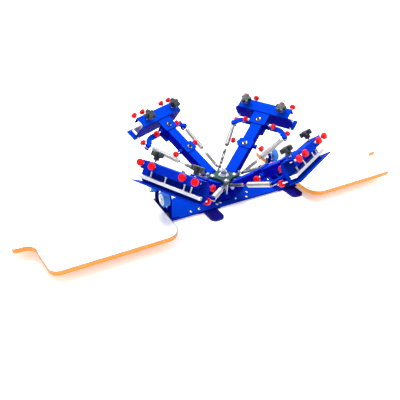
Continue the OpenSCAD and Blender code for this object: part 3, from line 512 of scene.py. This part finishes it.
for arm in arms:
    place = arm_place(arm)
    sockets, head_rings = [], []
    for u, seat in (collar_socket, head_socket):
        sockets.append((*disc_form(socket_profile, 36), at(u, 0, seat)))
        sockets.append((*screw_rod(socket_thread, *socket_rod), at(u, 0, seat)))
        sockets.append((*turned_form(washer_profile, 40), at(u, 0, seat)))
        head_rings.append((*turned_form(head_ring_profile, 40), at(u, 0, seat)))
    piece("arm_socket_screws_" + arm, "arm_" + arm, *gathered(sockets), black_oxide, place)
    piece("arm_washers_" + arm, "arm_" + arm, *gathered(head_rings), zinc_plate, place)

# Two springs lift each arm. Each is one drawn steel wire, wound in close curls, that hooks a
# boss of the horns with its eye. A long ring of wire joins the curls to a turnbuckle.
spring_wire_radius, spring_eye_reach, spring_eye_opening = 1.6, 12.9, 35
curls_start, curls_length, curl_radius, curls, curl_points = 20, 126, 9.2, 34, 12
ring_wire_radius, ring_half_width, ring_start, ring_in_barrel = 1.2, 3.3, 144.0, 3
barrel_root, barrel_length = 20.0, 84
wire = Finish("spring_wire")
drawn = wire.noise(240.0)
spring_wire = wire.surface(
    base_color=wire.mix(drawn, (0.34, 0.34, 0.34), (0.58, 0.57, 0.55)),
    metallic=1.0, roughness=0.24 + drawn * 0.18)


def wire_form(path, radius, sides=8):
    """A round wire along a path of points, with flat ends."""
    path = [Vector(p) for p in path]
    points, faces = [], []
    ahead = (path[1] - path[0]).normalized()
    side = ahead.orthogonal().normalized()
    for i, here in enumerate(path):
        ahead = (path[min(i + 1, len(path) - 1)] - path[max(i - 1, 0)]).normalized()
        side = (side - ahead * side.dot(ahead)).normalized()
        other = ahead.cross(side)
        for k in range(sides):
            angle = 2 * math.pi * k / sides
            points.append(here + (side * math.cos(angle) + other * math.sin(angle)) * radius)
    for i in range(len(path) - 1):
        a, b = i * sides, (i + 1) * sides
        for k in range(sides):
            m = (k + 1) % sides
            faces.append((a + k, a + m, b + m, b + k))
    faces.append(tuple(reversed(range(sides))))
    faces.append(tuple(range(len(points) - sides, len(points))))
    return points, faces


def eye_points(centre, spin, line, reach, opening):
    """An open eye of wire round a centre, about the axis spin. Its opening looks along the
    line and is twice as wide as opening, in degrees."""
    flat = (line - spin * line.dot(spin)).normalized()
    flank = spin.cross(flat)
    first, last, steps = 360 - opening, opening, 14
    angles = [math.radians(first + (last - first) * k / steps) for k in range(steps + 1)]
    return [centre + (flat * math.cos(a) + flank * math.sin(a)) * reach for a in angles]


def spring_path(tip, post, tip_up):
    """Centre line of one spring in millimetres, from its eye at the tip to its last curl."""
    line = (post - tip).normalized()
    side = line.cross(Vector((0, 0, 1))).normalized()
    top = side.cross(line)
    path = eye_points(tip, tip_up, line, spring_eye_reach, spring_eye_opening)
    path.append(tip + line * (curls_start - 3))
    for k in range(curls * curl_points + 1):
        share = k / (curls * curl_points)
        ease = min(1.0, share * curls * 2, (1 - share) * curls * 2)
        angle = 2 * math.pi * curls * share
        path.append(tip + line * (curls_start + curls_length * share)
                    + (side * math.cos(angle) + top * math.sin(angle)) * curl_radius * ease)
    path.append(tip + line * (curls_start + curls_length + 4))
    return path


def ring_path(tip, post):
    """Centre line of the long ring from a spring's last curl into its turnbuckle."""
    line = (post - tip).normalized()
    side = line.cross(Vector((0, 0, 1))).normalized()
    ring_end = (post - tip).length - (barrel_root + barrel_length) + ring_in_barrel
    path, steps = [], 8
    for centre, way in ((ring_end - ring_half_width, 1), (ring_start + ring_half_width, -1)):
        for k in range(steps + 1):
            angle = way * math.pi / 2 - math.pi * k / steps
            path.append(tip + line * (centre + ring_half_width * math.cos(angle))
                        + side * ring_half_width * math.sin(angle))
    path.append(path[0])
    return path


# A turnbuckle tightens each spring: a zinc barrel with a window on each side, in which the
# threaded ends of the ring and of a hook are seen. The hook goes round a post of the turret.
buckle = Finish("turnbuckle_zinc")
dull = buckle.noise(150.0, detail=4.0)
buckle_zinc = buckle.surface(
    base_color=buckle.mix(dull, (0.13, 0.13, 0.145), (0.30, 0.30, 0.32)),
    metallic=1.0, roughness=0.28 + dull * 0.2)
link = Finish("turnbuckle_hook_steel")
oil = link.noise(180.0, detail=4.0)
dark_link = link.surface(
    base_color=link.mix(oil, (0.04, 0.044, 0.052), (0.16, 0.165, 0.18)),
    metallic=1.0, roughness=0.26 + oil * 0.2)


def rail_form(middle, half_width, inner, outer, levels, steps=8):
    """A curved rail along Z between two radii, about the angle of its middle."""
    points, faces = [], []
    row = steps + 1
    for z in levels:
        for radius in (inner, outer):
            for k in range(row):
                angle = middle + math.radians(-half_width + 2 * half_width * k / steps)
                points.append((radius * math.cos(angle), radius * math.sin(angle), z))
    lengths = len(levels) - 1
    for length in range(lengths):
        low, high = length * 2 * row, (length + 1) * 2 * row
        for k in range(steps):
            faces.append((low + k + 1, low + k, high + k, high + k + 1))
            faces.append((low + row + k, low + row + k + 1, high + row + k + 1, high + row + k))
        faces.append((low, low + row, high + row, high))
        faces.append((low + row + steps, low + steps, high + steps, high + row + steps))
    for base, flip in ((0, False), (2 * row * lengths, True)):
        for k in range(steps):
            face = (base + k, base + k + 1, base + row + k + 1, base + row + k)
            faces.append(face[::-1] if flip else face)
    return points, faces


def barrel_form():
    """Barrel of a turnbuckle along Z from 0: two collars and two curved rails between them."""
    parts = []
    for start, way in ((0, 1), (barrel_length, -1)):
        collar = [(1.9, 0), (4.6, 0), (6.2, 1.2), (6.9, 3.4), (6.9, 11), (6.2, 13), (1.9, 14)]
        collar = [(r, start + way * z) for r, z in collar]
        parts.append((*turned_form(collar if way > 0 else collar[::-1], 28), Matrix.Identity(4)))
    rail_start, rail_clear = 9, 16
    half_width, inner, outer = 62, 3.6, 6.8
    levels = (rail_start, rail_clear, barrel_length - rail_clear, barrel_length - rail_start)
    for middle in (0, math.pi):
        parts.append((*rail_form(middle, half_width, inner, outer, levels), Matrix.Identity(4)))
    return gathered(parts)


def toward(start, line):
    """Puts Z along a line from a start, in millimetres."""
    return Matrix.Translation(start) @ line.to_track_quat("Z", "Y").to_matrix().to_4x4()


horn_boss_u, horn_boss_level = 255, -30
post_out, post_turn, left_level, right_level = 68, 45, 117.0, 103.5
hook_wire_radius, hook_reach, hook_opening, hook_neck = 1.7, 5.9, 40, 10
hook_rod, ring_rod, rod_radius, rod_pitch = (-7, 32), (58, 86), 2.2, 1.4
lock_nut_profile, lock_nut_start = [(2.0, 0), (4.7, 0), (4.7, 3), (2.0, 3)], -4.2
for arm, (azimuth, raised) in arms.items():
    place = arm_place(arm)
    up = (place.to_3x3() @ Vector((0, 0, 1))).normalized()
    wires, barrels, hooks = [], [], []
    for hand, hook_level in ((1, left_level), (-1, right_level)):
        boss = Vector((horn_boss_u, hand * horn_out, horn_boss_level)) * 0.001
        tip = place @ boss * 1000
        bearing = math.radians(azimuth + post_turn * hand)
        post = Vector((post_out * math.cos(bearing), post_out * math.sin(bearing), hook_level))
        line = (tip - post).normalized()
        spring = wire_form(spring_path(tip, post, up), spring_wire_radius)
        wires.append((*spring, Matrix.Identity(4)))
        ring = wire_form(ring_path(tip, post), ring_wire_radius)
        hooks.append((*ring, Matrix.Identity(4)))
        stand = toward(post + line * barrel_root, line)
        barrels.append((*barrel_form(), stand))
        for ends in (hook_rod, ring_rod):
            hooks.append((*screw_rod(rod_radius, *ends, rod_pitch), stand))
        hooks.append((*turned_form(lock_nut_profile, 6), stand @ at(0, 0, lock_nut_start)))
        hook = eye_points(post, Vector((0, 0, 1)), line, hook_reach, hook_opening)
        hook += [post + line * hook_neck, post + line * (barrel_root - 2)]
        hooks.append((*wire_form(hook, hook_wire_radius), Matrix.Identity(4)))
    springs = piece("springs_wire_" + arm, None, *gathered(wires), spring_wire, crease=60)
    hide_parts("springs_" + arm)
    barrel = piece("turnbuckles_" + arm, None, *gathered(barrels), buckle_zinc)
    links = piece("turnbuckle_hooks_" + arm, None, *gathered(hooks), dark_link, crease=60)
    for thing in (springs, barrel, links):
        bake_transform(thing)

# A thin dark grey round line runs all round the top edge of each board, sunk a little below
# its top face. Its grey is painted shade: the dark outline where the white top turns into the
# edge.
edge_shade_radius, edge_shade_sink = 1.1, 0.3
edge_shade_finish = Finish("painted_edge_shade")
edge_shade_mottle = edge_shade_finish.noise(120.0, detail=4.0)
# Painted shade: a dark grey, mottled at random, for the outline along each board's edge.
painted_edge_shade = edge_shade_finish.surface(
    base_color=edge_shade_finish.mix(edge_shade_mottle, (0.10, 0.102, 0.11), (0.22, 0.225, 0.24)),
    roughness=0.5 + edge_shade_mottle * 0.2)


def rim_of(mesh):
    """Points round the top face of a board, in order, in the board's own metres."""
    top = max(v.co.z for v in mesh.vertices)
    hair = 1e-5
    where = [(round(v.co.x, 5), round(v.co.y, 5)) for v in mesh.vertices]
    uses = {}
    for face in mesh.polygons:
        corners = list(face.vertices)
        if all(abs(mesh.vertices[i].co.z - top) < hair for i in corners):
            for a, b in zip(corners, corners[1:] + corners[:1]):
                key = frozenset((where[a], where[b]))
                uses[key] = uses.get(key, 0) + 1
    nexts = {}
    for key, count in uses.items():
        if count == 1 and len(key) == 2:
            a, b = key
            nexts.setdefault(a, []).append(b)
            nexts.setdefault(b, []).append(a)
    start = min(nexts)
    loop, before, here = [start], None, start
    while True:
        options = [n for n in nexts[here] if n != before]
        before, here = here, options[0]
        if here == start:
            return [(x, y, top) for x, y in loop]
        loop.append(here)


for side in ("left", "right"):
    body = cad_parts["pallet_" + side]
    rim = [tuple(1000 * c for c in body.matrix_world @ Vector(p)) for p in rim_of(body.data)]
    path = [(x, y, z - edge_shade_sink) for x, y, z in rim + rim[:1]]
    edge_shade_line = piece("pallet_edging_" + side, "base", *wire_form(path, edge_shade_radius), painted_edge_shade)

# Along the lip of each clamp four red thumb screws press on the edge of the screen frame.
# They are the arm's thumb screws again, with a zinc hexagon nut against the lip.
lip_screws_across, lip_screw_level = (-115, -64, 64, 115), 19
lip_knob, lip_rod, lip_nut = 377.5, (343.5, 373.5), 363.6
lip_nut_profile = [(3.1, 0), (6.0, 0), (6.0, 2.6), (3.1, 2.6)]
for arm in arms:
    place = arm_place(arm)
    knobs, rods, nuts = [], [], []
    for t in lip_screws_across:
        knobs.append((*thumb_knob, at(lip_knob, t, lip_screw_level) @ along_arm))
        rods.append((*screw_rod(thumb_thread, *lip_rod), at(0, t, lip_screw_level) @ along_arm))
        nuts.append((*turned_form(lip_nut_profile, 6),
                     at(lip_nut, t, lip_screw_level) @ along_arm))
    red = piece("lip_knobs_" + arm, "head_" + arm, *gathered(knobs), red_plastic, place)
    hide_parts("lip_screws_" + arm)
    screws = piece("lip_knob_screws_" + arm, "head_" + arm, *gathered(rods + nuts), zinc_plate,
                   place)

# The clamp bar is a length of extruded aluminium, brushed along, that two star knobs press
# down on the screen frame.
extruded = Finish("brushed_aluminium")
strokes = extruded.noise(120.0, detail=4.0, stretch=(1.0, 1.0, 9.0))
bar_metal = extruded.surface(
    base_color=extruded.mix(strokes, (0.80, 0.81, 0.84), (0.94, 0.95, 0.97)),
    metallic=1.0, roughness=0.24 + strokes * 0.18,
    normal=extruded.bump(strokes, strength=0.1, depth=0.0004))
dress(bar_metal, *("clamp_bar_" + arm for arm in arms))

# Each star knob is a moulded five-lobed head on a round boss, with a long zinc screw that
# runs through the nut under the clamp's top flange.
star_u, star_out, star_thread, star_rod, star_pitch = 338, 85, 4.0, (-23.7, 40.5), 1.5


def lobes(angle):
    """How far the star reaches past its waist: five round lobes with deep hollows between."""
    return 11.0 * (0.5 + 0.5 * math.cos(5 * angle)) ** 0.55


star_profile = [(0, 40), (10.0, 40), (11, 40.8), (11, 50.5, 0.0), (11.5, 52.2, 0.25),
                (13.0, 52.5, 0.9), (13.8, 53.4, 0.98), (14.0, 55.2, 1.0), (14.0, 66.4, 1.0),
                (13.4, 68.8, 0.95), (11.8, 70.2, 0.8), (9.0, 70.5, 0.3), (8.2, 69.8), (6.6, 69.6),
                (6.2, 70.2), (3.0, 70.4), (0, 70.4)]
for arm in arms:
    place = arm_place(arm)
    for letter, hand in (("a", -1), ("b", 1)):
        body = "knob_" + letter + "_" + arm
        stand = at(star_u, hand * star_out, 0)
        knob = piece("star_head_" + letter + "_" + arm, body,
                     *gathered([(*disc_form(star_profile, 90, lobes), stand)]),
                     black_plastic, place)
        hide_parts("star_knob_" + letter + "_" + arm)
        screw = piece("star_screw_" + letter + "_" + arm, body,
                      *gathered([(*screw_rod(star_thread, *star_rod, star_pitch), stand)]),
                      zinc_plate, place)
